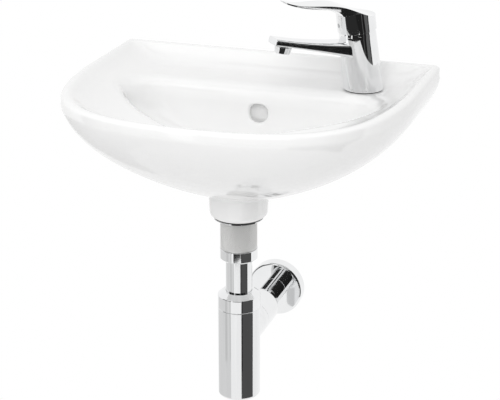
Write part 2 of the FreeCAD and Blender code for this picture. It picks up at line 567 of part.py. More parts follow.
SPOUT_RISE = "(spout_tip_up - spout_mid_up) / (spout_tip_x - spout_mid_x)"
AER_UP = "(spout_mid_up + (aer_x - spout_mid_x) * %s)" % SPOUT_RISE
barrel = turned("tap_barrel", [
    ("0", "0 - foot_r / 4"), ("foot_r", "0 - foot_r / 4"), ("dome_r", "pin_up"),
    ("bore_r + collar_wall", "pin_up"),
    ("bore_r + collar_wall", "pin_up + cartnut_top"), ("0", "pin_up + cartnut_top")], turn=LEAN)
spout = form("tap_spout", spout_form())
ground = block("tap_ground", "4 * foot_r", "4 * foot_r", "2 * foot_r", ("0", "0", "0 - 2 * foot_r"))
chamber = turned("tap_chamber", [
    ("0", "seat_up"), ("bore_r", "seat_up"), ("bore_r", "pin_up + 2 * dome_up"),
    ("0", "pin_up + 2 * dome_up")], turn=LEAN)
spout_way = cylinder("tap_spout_way", "spout_way_r", "aer_x - spout_root_x",
                     ("spout_root_x", "0",
                      "%s - (aer_x - spout_root_x) * %s" % (AER_UP, SPOUT_RISE)),
                     ALONG_SPOUT)
aer_socket = cylinder("tap_aerator_socket", "aer_neck_r + thread_gap", "4 * aer_face",
                      ("aer_x", "0", AER_UP), DOWN_SPOUT)
stud_hole = cylinder("tap_stud_hole", "stud_r + thread_gap", "stud_in", ("stud_x", "0", "0"))
tap_tools = [ground, chamber, spout_way, aer_socket, stud_hole]
for side, sign in (("left", "-"), ("right", "")):
    tap_tools.append(cylinder("tap_inlet_" + side, "inlet_r", "inlet_l",
                              ("inlet_x", sign + "inlet_y", "0")))
    tap_tools.append(cylinder("tap_inlet_way_" + side, "port_r", "seat_up + port_r",
                              ("inlet_x", sign + "inlet_y", "0")))
done(place(cut("tap_body", joined("tap_casting", [barrel, spout]), tap_tools), FOOT, YAW))

# Tap fixing: foot gasket, stud, horseshoe pad and plate, and nut under the deck.

done(ring("tap_foot_gasket", "tap_hole_r", "foot_r - foot_gasket_t", "foot_gasket_t",
          (TAP_X, "-tap_y", "rim_up - deck_drop")))
done(cylinder("tap_stud", "stud_r", "stud_l", upright("stud_x", "stud_in - stud_l")))
for label, thick, low in (("tap_clamp_pad", "clamp_rubber_t", UNDER_DECK + " - clamp_rubber_t"),
                          ("tap_clamp_plate", "clamp_plate_t",
                           UNDER_DECK + " - clamp_rubber_t - clamp_plate_t")):
    disc = cylinder(label + "_disc", "clamp_r", thick, ("0", "0", low))
    gap = block(label + "_gap", "2 * clamp_r", "clamp_gap", "3 * " + thick,
                ("clamp_r + stud_x / 3", "0", low + " - " + thick))
    eye = cylinder(label + "_eye", "stud_r + fit_gap", "3 * " + thick, ("stud_x", "0", low + " - " + thick))
    done(place(cut(label, disc, [gap, eye]), FOOT, YAW))
hexagon = doc.addObject("Part::Prism", "tap_nut_hexagon")
hexagon.Polygon = 6
hexagon.setExpression("Circumradius", cells("tapnut_w / 2 / cos(30 * 1 deg)"))
hexagon.setExpression("Height", cells("tapnut_h"))
NUT_UP = UNDER_DECK + " - clamp_rubber_t - clamp_plate_t - tapnut_h"
place(hexagon, ("stud_x", "0", NUT_UP))
nut_eye = cylinder("tap_nut_eye", "stud_r + thread_gap", "3 * tapnut_h",
                   ("stud_x", "0", NUT_UP + " - tapnut_h"))
done(place(cut("tap_nut", hexagon, [nut_eye]), FOOT, YAW))

# Aerator: tapered housing screwed into the spout, mesh insert and seal.

AERATOR = upright("aer_x", AER_UP)
AER_TURN = YAW.multiply(DOWN_SPOUT)
done(turned("aerator_housing", [
    ("aer_bore_r", "aer_face - aer_neck_h"), ("aer_neck_r", "aer_face - aer_neck_h"),
    ("aer_neck_r", "aer_face"), ("aer_r", "aer_face"),
    ("aer_low_r", "aer_face + aer_h"), ("aer_bore_r", "aer_face + aer_h")], AERATOR, AER_TURN,
    rounds=[(3, "edge_round"), (4, "edge_round")]))
done(turned("aerator_insert", [
    ("0", "aer_face + aer_h - insert_t"), ("aer_bore_r - fit_gap", "aer_face + aer_h - insert_t"),
    ("aer_bore_r - fit_gap", "aer_face + aer_h - insert_in"), ("0", "aer_face + aer_h - insert_in")],
    AERATOR, AER_TURN))
done(turned("aerator_seal", [
    ("aer_bore_r", "aer_face - aer_neck_h - aer_seal_t"),
    ("aer_neck_r", "aer_face - aer_neck_h - aer_seal_t"),
    ("aer_neck_r", "aer_face - aer_neck_h"), ("aer_bore_r", "aer_face - aer_neck_h")], AERATOR, AER_TURN))


# Cartridge: ceramic discs in a moulded housing, worked by a stem on a pin in the rotor.

COUPLER_TOP = "pin_up - coupler_top"
DISC_TOP = COUPLER_TOP + " - coupler_t"
FIXED_TOP = DISC_TOP + " - disc_t - run_gap"
BASE_TOP = FIXED_TOP + " - base_disc_t"
MIDDLE = ("0", "0")


def two_ports(name, radius, height, low):
    return [cylinder("%s_%s" % (name, side), radius, height, ("port_x", sign + "port_y", low))
            for side, sign in (("left", "-"), ("right", ""))]


def in_tap(item):
    return done(place(item, FOOT, TILTED))


seals = joined("cartridge_seals_blank", two_ports("cartridge_seal", "port_seal_r", "port_seal_t",
                                                  "seat_up"))
in_tap(cut("cartridge_seals", seals, two_ports("cartridge_seal_eye", "port_r", "3 * port_seal_t",
                                               "seat_up - port_seal_t")))
base = cylinder("cartridge_base_blank", "cart_r", BASE_TOP + " - seat_up", MIDDLE + ("seat_up",))
base_tools = two_ports("cartridge_base_port", "port_r", "2 * seat_up", "0")
base_tools += two_ports("cartridge_base_recess", "port_seal_r + fit_gap", "2 * port_seal_t",
                        "seat_up - port_seal_t")
in_tap(cut("cartridge_base", base, base_tools))
fixed = cylinder("fixed_disc_blank", "base_disc_r", "base_disc_t", MIDDLE + (BASE_TOP,))
in_tap(cut("fixed_disc", fixed, two_ports("fixed_disc_port", "port_r", "3 * base_disc_t",
                                          BASE_TOP + " - base_disc_t")))
moving = cylinder("moving_disc_blank", "coupler_r", "disc_t", MIDDLE + (DISC_TOP + " - disc_t",))
moving_way = block("moving_disc_way", "port_r * 2", "port_r * 5", "disc_t",
                   ("0 - port_r", "0", DISC_TOP + " - disc_t * 1.5"))
in_tap(cut("moving_disc", moving, [moving_way]))
coupler = cylinder("disc_coupler_blank", "coupler_r", "coupler_t", MIDDLE + (DISC_TOP,))
pocket = block("disc_coupler_pocket", "2 * (ball_r + pocket_gap)", "2 * (ball_r + pocket_gap)",
               "3 * coupler_t", MIDDLE + (DISC_TOP + " - coupler_t",))
in_tap(cut("disc_coupler", coupler, [pocket]))
housing = turned("cartridge_housing_turned", [
    ("cart_r - cart_wall", BASE_TOP), ("cart_r", BASE_TOP), ("cart_r", "pin_up + cart_top"),
    ("cart_eye_r", "pin_up + cart_top"),
    ("cart_eye_r", "pin_up + cart_top - cart_lip"), ("cart_r - cart_wall", "pin_up + cart_top - cart_lip")])
housing_way = cylinder("cartridge_housing_way", "port_r", "2 * cart_r",
                       MIDDLE + (FIXED_TOP + " + port_r + slip",), ALONG_X)
in_tap(cut("cartridge_housing", housing, [housing_way]))
rotor = turned("cartridge_rotor_turned", [
    ("0", "pin_up - rotor_low"), ("rotor_flange_r", "pin_up - rotor_low"),
    ("rotor_flange_r", "pin_up - rotor_low + rotor_flange_t"),
    ("rotor_r", "pin_up - rotor_low + rotor_flange_t"), ("rotor_r", "pin_up + rotor_top"),
    ("0", "pin_up + rotor_top")])
rotor_slot = block("cartridge_rotor_slot", "rotor_slot_l", "stem_d + 2 * move_gap", "4 * rotor_low",
                   ("(2 * stem_w - rotor_slot_l) / 2", "0", "pin_up - 2 * rotor_low"))
rotor_pin = cylinder("cartridge_rotor_pin_hole", "pin_r + run_gap / 2", "pin_l",
                     ("0", "0 - pin_l / 2", "pin_up"), ALONG_Y)
in_tap(cut("cartridge_rotor", rotor, [rotor_slot, rotor_pin]))
done(cylinder("stem_pin", "pin_r", "pin_l", leaning("0", "0 - pin_l / 2", "pin_up"),
              TILTED.multiply(ALONG_Y)))
stem_bar = block("lever_stem_bar", "stem_w", "stem_d", "stem_top + stem_low",
                 MIDDLE + ("pin_up - stem_low",))
stem_neck = block("lever_stem_neck", "neck_w", "neck_w", "ball_low", MIDDLE + ("pin_up - ball_low",))
stem_ball = sphere("lever_stem_ball", "ball_r", MIDDLE + ("pin_up - ball_low",))
stem_eye = cylinder("lever_stem_eye", "pin_r + run_gap", "2 * stem_d", ("0", "0 - stem_d", "pin_up"),
                    ALONG_Y)
in_tap(cut("lever_stem", joined("lever_stem_blank", [stem_bar, stem_neck, stem_ball]), [stem_eye]))
done(ring("cartridge_nut", "cartnut_eye_r", "cartnut_r", "cartnut_top - cart_top",
          leaning("0", "0", "pin_up + cart_top"), TILTED))
dome_ball = sphere("tap_dome_ball", "dome_r", MIDDLE + ("pin_up",))
dome_slab = cylinder("tap_dome_slab", "foot_r", "dome_up", MIDDLE + ("pin_up",))
dome_bore = cylinder("tap_dome_bore", "bore_r + collar_wall + fit_gap", "cartnut_top", MIDDLE + ("pin_up",))
dome_eye = cylinder("tap_dome_eye", "dome_eye_r", "3 * dome_up", MIDDLE + ("pin_up",))
in_tap(cut("tap_dome_ring", overlap("tap_dome_blank", [dome_ball, dome_slab]), [dome_bore, dome_eye]))


# Lever: cap and blade in one chromed casting, with its set screw and cover.

def lever_form():
    """Side outline met by plan outline, in the leaning frame with heights from the pin."""
    reach = size["lever_reach"]
    front = size["cap_front_x"]
    rim = size["cap_rim_up"]
    back = -1.08 * size["cap_r"]
    tip = size["lever_tip_t"]
    root = size["lever_root_up"]

    def spot(x, up):
        return Vector(x, -2 * size["cap_r"], size["pin_up"] + up)

    top = Part.BSplineCurve()
    top.interpolate([
        spot(back, size["cap_back_up"] - 1), spot(-0.7 * size["cap_r"], size["cap_back_up"]),
        spot(front - 4, size["cap_front_up"]), spot(size["lever_neck_x"], size["lever_neck_up"]),
        spot(reach + 1, size["lever_tip_up"])])
    under = Part.BSplineCurve()
    under.interpolate([
        spot(reach + 1, size["lever_tip_up"] - tip),
        spot(size["lever_neck_x"], size["lever_neck_up"] - tip),
        spot(size["lever_mid_x"], size["lever_mid_up"]), spot(front + size["lever_root_round"], root + 2),
        spot(front, root - size["lever_root_round"])])
    edges = [top.toShape(), Part.LineSegment(spot(reach + 1, size["lever_tip_up"]),
                                             spot(reach + 1, size["lever_tip_up"] - tip)).toShape(),
             under.toShape(), Part.LineSegment(spot(front, root - size["lever_root_round"]),
                                               spot(front, rim)).toShape(),
             Part.LineSegment(spot(front, rim), spot(back, rim)).toShape(),
             Part.LineSegment(spot(back, rim), spot(back, size["cap_back_up"] - 1)).toShape()]
    side = Part.Face(Part.Wire(edges)).extrude(Vector(0, 4 * size["cap_r"], 0))

    tip_r = size["lever_tip_r"]
    span = reach - tip_r
    angle = math.asin((size["cap_r"] - tip_r) / span)

    def rim_spot(centre, radius, sign):
        return Vector(centre + radius * math.sin(angle), sign * radius * math.cos(angle), size["pin_up"])

    cap_arc = Part.Arc(rim_spot(0, size["cap_r"], 1), Vector(-size["cap_r"], 0, size["pin_up"]),
                       rim_spot(0, size["cap_r"], -1))
    tip_arc = Part.Arc(rim_spot(span, tip_r, -1), Vector(reach, 0, size["pin_up"]),
                       rim_spot(span, tip_r, 1))
    sides = [Part.LineSegment(rim_spot(0, size["cap_r"], -1), rim_spot(span, tip_r, -1)).toShape(),
             Part.LineSegment(rim_spot(span, tip_r, 1), rim_spot(0, size["cap_r"], 1)).toShape()]
    outline = Part.Wire([cap_arc.toShape(), sides[0], tip_arc.toShape(), sides[1]])
    pillar = Part.Face(outline).extrude(Vector(0, 0, 2 * size["lever_tip_up"]))
    return side.common(pillar)


lever_blank = form("lever_blank", lever_form())
lever_hollow = sphere("lever_hollow", "cap_hollow_r", MIDDLE + ("pin_up",))
lever_socket = block("lever_socket", "socket_w", "socket_d", "socket_top - socket_low",
                     MIDDLE + ("pin_up + socket_low",))
lever_slot = block("lever_slot", "stem_w + 2 * fit_gap", "stem_d + 2 * fit_gap", "stem_top",
                   MIDDLE + ("pin_up + slip",))
screw_hole = cylinder("lever_screw_hole", "screw_r + thread_gap", "2 * cap_r",
                      ("0", "0", "pin_up + screw_up"), ALONG_X)
cover_hole = cylinder("lever_cover_hole", "cover_r + fit_gap", "cap_r",
                      ("cap_r - cover_l", "0", "pin_up + screw_up"), ALONG_X)
beside_cap = block("lever_beside_cap", "4 * cap_r", "4 * cap_r", "lever_root_up - lever_root_round",
                   ("2 * cap_r", "0", "pin_up"))
cap_core = cylinder("lever_cap_core", "cap_r", "2 * lever_root_up",
                    MIDDLE + ("pin_up - lever_root_up / 2",))
lever_shell = cut("lever_shell", lever_blank,
                  [cut("lever_under_blade", beside_cap, [cap_core]), lever_hollow])
in_tap(cut("lever", joined("lever_body", [lever_shell, lever_socket]),
           [lever_slot, screw_hole, cover_hole]))
done(cylinder("lever_set_screw", "screw_r", "screw_l", leaning("stem_w / 2", "0", "pin_up + screw_up"),
              TILTED.multiply(ALONG_X)))
done(cylinder("lever_screw_cover", "cover_r", "cover_l - slip",
              leaning("cap_r - cover_l", "0", "pin_up + screw_up"),
              TILTED.multiply(ALONG_X)))


# Every object must be sound before its pieces are written.

doc.recompute()
for item in doc.Objects:
    if "Invalid" in item.State or "Error" in item.State:
        raise RuntimeError("object %s is not valid" % item.Label)
os.makedirs("parts", exist_ok=True)
for item in finished:
    shape = item.Shape
    if shape.isNull() or not shape.isValid() or not shape.Solids:
        raise RuntimeError("shape of %s is not sound" % item.Label)
    shape.exportStep("parts/%s.step" % item.Label)
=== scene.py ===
import math
import bmesh
import bpy
from mathutils import Matrix, Vector


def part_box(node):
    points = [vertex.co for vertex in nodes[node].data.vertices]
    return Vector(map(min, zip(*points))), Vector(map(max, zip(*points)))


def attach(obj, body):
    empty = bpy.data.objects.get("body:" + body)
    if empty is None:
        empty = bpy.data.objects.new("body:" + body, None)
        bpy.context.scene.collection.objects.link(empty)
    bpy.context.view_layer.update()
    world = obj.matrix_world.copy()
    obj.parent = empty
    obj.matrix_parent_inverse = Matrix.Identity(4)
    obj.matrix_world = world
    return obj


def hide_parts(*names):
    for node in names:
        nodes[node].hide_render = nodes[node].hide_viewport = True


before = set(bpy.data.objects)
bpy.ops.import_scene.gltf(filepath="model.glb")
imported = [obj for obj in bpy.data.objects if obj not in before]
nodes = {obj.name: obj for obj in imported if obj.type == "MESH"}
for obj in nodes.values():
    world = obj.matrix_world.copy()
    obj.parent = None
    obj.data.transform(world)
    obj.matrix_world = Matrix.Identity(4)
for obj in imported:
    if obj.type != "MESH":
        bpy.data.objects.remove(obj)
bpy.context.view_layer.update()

scene = bpy.context.scene

# Camera: stands to the right of the basin and above its rim.
# The long lens keeps the round basin from spreading towards the edges.
camera_data = bpy.data.cameras.new("photo_camera")
camera_data.sensor_width = 36.0
camera_data.lens = 111.95
camera = bpy.data.objects.new("photo_camera", camera_data)
scene.collection.objects.link(camera)
camera.location = (0.6223, -1.9660, 0.6154)
camera_aim = Vector((0.0621, -0.3097, -0.0380))
camera.rotation_euler = (camera_aim - camera.location).to_track_quat("-Z", "Y").to_euler()
scene.camera = camera
scene.view_settings.view_transform = "Standard"


# Room: a pale studio floor far below the wall-hung basin, in an even white surround.
# What the lens and the polished metal see of both is plain white; three soft boxes light the glaze.
def split_by_ray(tree, lighting, showing, output):
    """One shader lights the set, and the other is what the lens, metal and glass see."""
    path = tree.nodes.new("ShaderNodeLightPath")
    seen = tree.nodes.new("ShaderNodeMath")
    seen.operation = "MAXIMUM"
    seen_or_through = tree.nodes.new("ShaderNodeMath")
    seen_or_through.operation = "MAXIMUM"
    pick = tree.nodes.new("ShaderNodeMixShader")
    tree.links.new(path.outputs["Is Camera Ray"], seen.inputs[0])
    tree.links.new(path.outputs["Is Glossy Ray"], seen.inputs[1])
    tree.links.new(seen.outputs[0], seen_or_through.inputs[0])
    tree.links.new(path.outputs["Is Transmission Ray"], seen_or_through.inputs[1])
    tree.links.new(seen_or_through.outputs[0], pick.inputs[0])
    tree.links.new(lighting.outputs[0], pick.inputs[1])
    tree.links.new(showing.outputs[0], pick.inputs[2])
    tree.links.new(pick.outputs[0], output.inputs["Surface"])


world = bpy.data.worlds.new("studio_surround")
world.use_nodes = True
scene.world = world
sky = world.node_tree
sky.nodes.clear()
sky_out = sky.nodes.new("ShaderNodeOutputWorld")
fill = sky.nodes.new("ShaderNodeBackground")
fill.inputs["Color"].default_value = (1.0, 1.0, 1.0, 1.0)
fill.inputs["Strength"].default_value = 0.72
white = sky.nodes.new("ShaderNodeBackground")
white.inputs["Color"].default_value = (1.0, 1.0, 1.0, 1.0)
white.inputs["Strength"].default_value = 1.0
split_by_ray(sky, fill, white, sky_out)

floor_z = -0.79
floor_half_w = 14.0
floor_mesh = bpy.data.meshes.new("studio_floor")
floor_build = bmesh.new()
bmesh.ops.create_grid(floor_build, x_segments=1, y_segments=1, size=floor_half_w,
                      matrix=Matrix.Translation((0.0, 0.0, floor_z)))
floor_build.to_mesh(floor_mesh)
floor_build.free()
floor = bpy.data.objects.new("studio_floor", floor_mesh)
scene.collection.objects.link(floor)
floor_paint = bpy.data.materials.new("studio_floor")
floor_paint.use_nodes = True
floor_tree = floor_paint.node_tree
floor_tree.nodes.clear()
floor_out = floor_tree.nodes.new("ShaderNodeOutputMaterial")
matt = floor_tree.nodes.new("ShaderNodeBsdfDiffuse")
matt.inputs["Color"].default_value = (0.9, 0.9, 0.9, 1.0)
glow = floor_tree.nodes.new("ShaderNodeEmission")
glow.inputs["Color"].default_value = (1.0, 1.0, 1.0, 1.0)
glow.inputs["Strength"].default_value = 1.0
split_by_ray(floor_tree, matt, glow, floor_out)
floor_mesh.materials.append(floor_paint)


def soft_box(name, spot, width, height, power, mirrored=True):
    """A lamp behind cloth, turned to the bowl; the metal can be kept from mirroring it."""
    bowl_middle = Vector((0.0, -0.2, 0.0))
    lamp = bpy.data.lights.new(name, "AREA")
    lamp.shape = "RECTANGLE"
    lamp.size = width
    lamp.size_y = height
    lamp.energy = power
    holder = bpy.data.objects.new(name, lamp)
    scene.collection.objects.link(holder)
    holder.location = spot
    holder.rotation_euler = (bowl_middle - Vector(spot)).to_track_quat("-Z", "Y").to_euler()
    holder.visible_glossy = mirrored


soft_box("key_from_above", (0.1, -0.9, 2.0), 1.8, 1.4, 3.0)
soft_box("fill_from_left", (-1.2, -1.6, 0.9), 1.2, 1.2, 2.0)
soft_box("fill_from_camera", (0.3, -1.75, 1.15), 1.0, 1.0, 11.0, mirrored=False)


# Screens: black, grey and white boards that stand round the set for the polished metal to mirror as bands.
# They neither show themselves nor shade the basin; a one-sided screen is clear from behind.
def screen(name, build, shade, one_sided=False):
    mesh = bpy.data.meshes.new(name)
    build.to_mesh(mesh)
    build.free()
    item = bpy.data.objects.new(name, mesh)
    scene.collection.objects.link(item)
    paint = bpy.data.materials.new(name)
    paint.use_nodes = True
    tree = paint.node_tree
    tree.nodes.clear()
    face_out = tree.nodes.new("ShaderNodeOutputMaterial")
    face = tree.nodes.new("ShaderNodeEmission")
    face.inputs["Color"].default_value = (shade, shade, shade, 1.0)
    tree.links.new(face.outputs[0], face_out.inputs["Surface"])
    if one_sided:
        side = tree.nodes.new("ShaderNodeNewGeometry")
        clear = tree.nodes.new("ShaderNodeBsdfTransparent")
        by_side = tree.nodes.new("ShaderNodeMixShader")
        tree.links.new(side.outputs["Backfacing"], by_side.inputs[0])
        tree.links.new(face.outputs[0], by_side.inputs[1])
        tree.links.new(clear.outputs[0], by_side.inputs[2])
        tree.links.new(by_side.outputs[0], face_out.inputs["Surface"])
    mesh.materials.append(paint)
    item.visible_camera = False
    item.visible_diffuse = False
    item.visible_shadow = False
    item.visible_transmission = False


def bent_screen(name, bearings, profile, shade):
    """A board bent round the set between two bearings in degrees; its profile gives reach and height."""
    middle = Vector((0.05, -0.15, 0.0))
    build = bmesh.new()
    start = Matrix.Rotation(math.radians(bearings[0]), 4, "Z")
    spots = [build.verts.new(middle + start @ Vector((reach, 0.0, height))) for reach, height in profile]
    staves = [build.edges.new(pair) for pair in zip(spots, spots[1:])]
    bmesh.ops.spin(build, geom=spots + staves, cent=middle, axis=(0.0, 0.0, 1.0), steps=24,
                   angle=math.radians(bearings[1] - bearings[0]))
    screen(name, build, shade)


def level_screen(name, middle, bearing, length, width, shade, one_sided=False):
    """A flat level board, its length along a bearing in degrees."""
    build = bmesh.new()
    turn = Matrix.Rotation(math.radians(bearing), 4, "Z")
    stretch = Matrix.Diagonal((length, width, 1.0, 1.0))
    bmesh.ops.create_grid(build, x_segments=1, y_segments=1, size=0.5,
                          matrix=Matrix.Translation(middle) @ turn @ stretch)
    screen(name, build, shade, one_sided)


def card(name, start, end, shade):
    """A narrow upright board; each end gives its place, foot and top."""
    build = bmesh.new()
    feet = [build.verts.new((x, y, foot)) for x, y, foot, top in (start, end)]
    tops = [build.verts.new((x, y, top)) for x, y, foot, top in (end, start)]
    build.faces.new(feet + tops)
    screen(name, build, shade)


foot_z = -0.78
bent_screen("screen_right_low", (-62.0, 8.0), [(0.6, foot_z), (0.9, foot_z), (0.9, -0.3)], 0.08)
bent_screen("screen_right_high", (-62.0, 8.0), [(0.9, -0.3), (0.9, 0.9)], 0.12)
bent_screen("screen_near_edge_low", (-62.0, -56.0), [(0.88, -0.77), (0.88, -0.3)], 0.012)
bent_screen("screen_near_edge_high", (-62.0, -32.0), [(0.88, -0.3), (0.88, 0.9)], 0.015)
bent_screen("screen_far_edge", (3.0, 8.0), [(0.88, -0.77), (0.88, 0.9)], 0.02)
bent_screen("screen_spout", (-29.0, -16.0), [(0.87, -0.124), (0.87, 0.9)], 0.012)
card("card_blade", (0.2054, -0.1755, 0.1132, 0.1168), (0.1545, -0.2098, 0.1240, 0.1249), 0.95)
bent_screen("screen_camera", (-106.0, -62.0), [(1.4, -0.742), (1.4, 0.6)], 0.02)
bent_screen("screen_left_far", (-165.0, -114.0), [(1.4, -0.6), (1.4, 0.6)], 0.03)
bent_screen("screen_left_pale", (-215.0, -118.0), [(0.6, -0.775), (1.05, -0.775), (1.05, -0.35)], 0.74)
bent_screen("screen_left_wide", (-152.0, -138.0), [(1.0, foot_z), (1.0, -0.35)], 0.62)
bent_screen("screen_left_thin", (-124.0, -119.0), [(1.0, foot_z), (1.0, -0.35)], 0.6)
level_screen("screen_overhead", (0.1, -0.55, 1.3), 0.0, 1.3, 0.5, 0.02)
level_screen("screen_over_bowl", (0.087, -0.258, 0.066), -105.0, 0.15, 0.21, 0.025, one_sided=True)


# Ceramic basin: one slip-cast piece of vitreous china, sponged smooth at its lips while still damp.
# It is fired with a thick white glaze, which pools into a faintly wavy, very glossy skin.
def finish(name, light, dark, grain, rough, metal=0.0, wave=0.0, coat=0.0, stretch=(1.0, 1.0, 1.0)):
    """A worked surface: colour and gloss drift between two values over a stretched grain."""
    paint = bpy.data.materials.new(name)
    paint.use_nodes = True
    tree = paint.node_tree
    shader = tree.nodes["Principled BSDF"]
    shader.inputs["Metallic"].default_value = metal
    shader.inputs["Coat Weight"].default_value = coat
    spots = tree.nodes.new("ShaderNodeTexCoord")
    along = tree.nodes.new("ShaderNodeMapping")
    along.inputs["Scale"].default_value = stretch
    tree.links.new(spots.outputs["Object"], along.inputs["Vector"])
    drift = tree.nodes.new("ShaderNodeTexNoise")
    drift.inputs["Scale"].default_value = grain
    drift.inputs["Detail"].default_value = 4.0
    tree.links.new(along.outputs["Vector"], drift.inputs["Vector"])
    colour = tree.nodes.new("ShaderNodeMix")
    colour.data_type = "RGBA"
    colour.inputs["A"].default_value = (*light, 1.0)
    colour.inputs["B"].default_value = (*dark, 1.0)
    tree.links.new(drift.outputs["Fac"], colour.inputs["Factor"])
    tree.links.new(colour.outputs["Result"], shader.inputs["Base Color"])
    gloss = tree.nodes.new("ShaderNodeMapRange")
    gloss.inputs["To Min"].default_value = rough[0]
    gloss.inputs["To Max"].default_value = rough[1]
    tree.links.new(drift.outputs["Fac"], gloss.inputs["Value"])
    tree.links.new(gloss.outputs["Result"], shader.inputs["Roughness"])
    if wave:
        bump = tree.nodes.new("ShaderNodeBump")
        bump.inputs["Strength"].default_value = wave
        bump.inputs["Distance"].default_value = 0.001
        tree.links.new(drift.outputs["Fac"], bump.inputs["Height"])
        tree.links.new(bump.outputs["Normal"], shader.inputs["Normal"])
    return paint


def merged_copy(node):
    """A copy of a CAD node's mesh with its loose triangles joined up."""
    build = bmesh.new()
    build.from_mesh(nodes[node].data)
    bmesh.ops.remove_doubles(build, verts=build.verts, dist=0.00001)
    return build


def piece(name, build, body, slot, paint, *stands_for):
    """A finished piece, smooth wherever its surface runs on, that rides on its body."""
    mesh = bpy.data.meshes.new(name)
    build.to_mesh(mesh)
    build.free()
    mesh.shade_smooth()
    mesh.set_sharp_from_angle(angle=math.radians(34.0))
    mesh.materials.append(paint)
    item = bpy.data.objects.new(name, mesh)
    scene.collection.objects.link(item)
    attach(item, body)
    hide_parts(*stands_for)
    return item


def sponge(build, spots, strokes):
    """Wipes sharp arrises down, as a damp sponge does on unfired clay."""
    for stroke in range(strokes):
        bmesh.ops.smooth_vert(build, verts=spots, factor=0.5, use_axis_x=True, use_axis_y=True,
                              use_axis_z=True)


glaze = finish("white_glaze", (0.965, 0.965, 0.96), (0.935, 0.935, 0.935), 18.0, (0.05, 0.11), wave=0.02,
               coat=0.3)
skin_grain = 0.0022
glazed_basin = piece("glazed_basin", merged_copy("basin"), "basin_set", "glaze", glaze, "basin")
cast_skin = glazed_basin.modifiers.new("cast_skin", "REMESH")
cast_skin.mode = "VOXEL"
cast_skin.voxel_size = skin_grain
bpy.context.view_layer.update()
graph = bpy.context.evaluated_depsgraph_get()
cast_mesh = bpy.data.meshes.new_from_object(glazed_basin.evaluated_get(graph))
glazed_basin.modifiers.clear()
skin = bmesh.new()
skin.from_mesh(cast_mesh)
bpy.data.meshes.remove(cast_mesh)
skin.normal_update()
gasket_low, gasket_high = (Vector(corner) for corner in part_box("tap_foot_gasket"))
tap_foot = (gasket_low + gasket_high) / 2
deck_z = gasket_low.z
tap_seat_r = 0.034
lip_reach = 0.022
lip_strokes = 60
strokes_all_over = 2
lip = []
for spot in skin.verts:
    beside_tap = (spot.co - tap_foot).to_2d().length < tap_seat_r
    faces_up = spot.normal.z > -0.2
    if abs(spot.co.z - deck_z) < lip_reach and faces_up and not beside_tap:
        lip.append(spot)
sponge(skin, lip, lip_strokes)
sponge(skin, skin.verts, strokes_all_over)
skin_faces = len(skin.faces)
skin.to_mesh(glazed_basin.data)
skin.free()
glazed_basin.data.shade_smooth()
most_triangles = 190000
thinned = glazed_basin.modifiers.new("thinned_skin", "DECIMATE")
thinned.ratio = min(1.0, most_triangles / (2 * skin_faces))


# Waste: a chromed brass flange in the bowl, its slotted tail passing down through the boss.
# It is sealed by a rubber gasket above and below, with a plain washer under the boss.
def dress(paint, *names):
    """Gives CAD nodes that keep their own shape a finish."""
    for name in names:
        mesh = nodes[name].data
        mesh.materials.clear()
        mesh.materials.append(paint)


chrome = finish("polished_chrome", (0.88, 0.885, 0.89), (0.8, 0.805, 0.81), 35.0, (0.03, 0.07), metal=1.0)
rubber = finish("black_rubber", (0.06, 0.06, 0.06), (0.035, 0.035, 0.035), 250.0, (0.6, 0.8), wave=0.1)
dress(chrome, "waste_flange", "waste_washer")
dress(rubber, "waste_seat_gasket", "waste_low_gasket")


# Sleeve nut: a satin-plated brass tube that pulls the waste tight.
# A crossed knurl is rolled into it for a wet hand to grip.
def turned(corners, axle, edge_round, steps=96):
    """A turned piece: its half-section, radius and height by corner, rounded and spun about an axle."""
    build = bmesh.new()
    section = [build.verts.new((axle[0] + radius, axle[1], height)) for radius, height in corners]
    off_axle = [spot for spot, (radius, height) in zip(section, corners) if radius > 0.0]
    for start, end in zip(section, section[1:] + section[:1]):
        if start in off_axle or end in off_axle:
            build.edges.new((start, end))
    bmesh.ops.bevel(build, geom=off_axle, offset=edge_round, offset_type="OFFSET", affect="VERTICES",
                    segments=3, profile=0.5, material=-1)
    bmesh.ops.spin(build, geom=build.verts[:] + build.edges[:], cent=(axle[0], axle[1], 0.0),
                   axis=(0.0, 0.0, 1.0), angle=math.tau, steps=steps, use_merge=True)
    bmesh.ops.remove_doubles(build, verts=build.verts, dist=0.000001)
    bmesh.ops.recalc_face_normals(build, faces=build.faces)
    return build


def wound_ridge(build, axle, radius, heights, start, turn, width, proud, steps):
    """A ridge wound up a cylinder from a bearing through a turn, both in radians."""
    foot = Matrix.Translation((axle[0], axle[1], heights[0])) @ Matrix.Rotation(start, 4, "Z")
    low = build.verts.new(foot @ Vector((radius, 0.0, -width / 2)))
    crest = build.verts.new(foot @ Vector((radius + proud, 0.0, 0.0)))
    high = build.verts.new(foot @ Vector((radius, 0.0, width / 2)))
    strip = [low, crest, high, build.edges.new((low, crest)), build.edges.new((crest, high))]
    bmesh.ops.spin(build, geom=strip, cent=(axle[0], axle[1], 0.0), axis=(0.0, 0.0, 1.0), angle=turn,
                   steps=steps, dvec=(0.0, 0.0, (heights[1] - heights[0]) / steps))


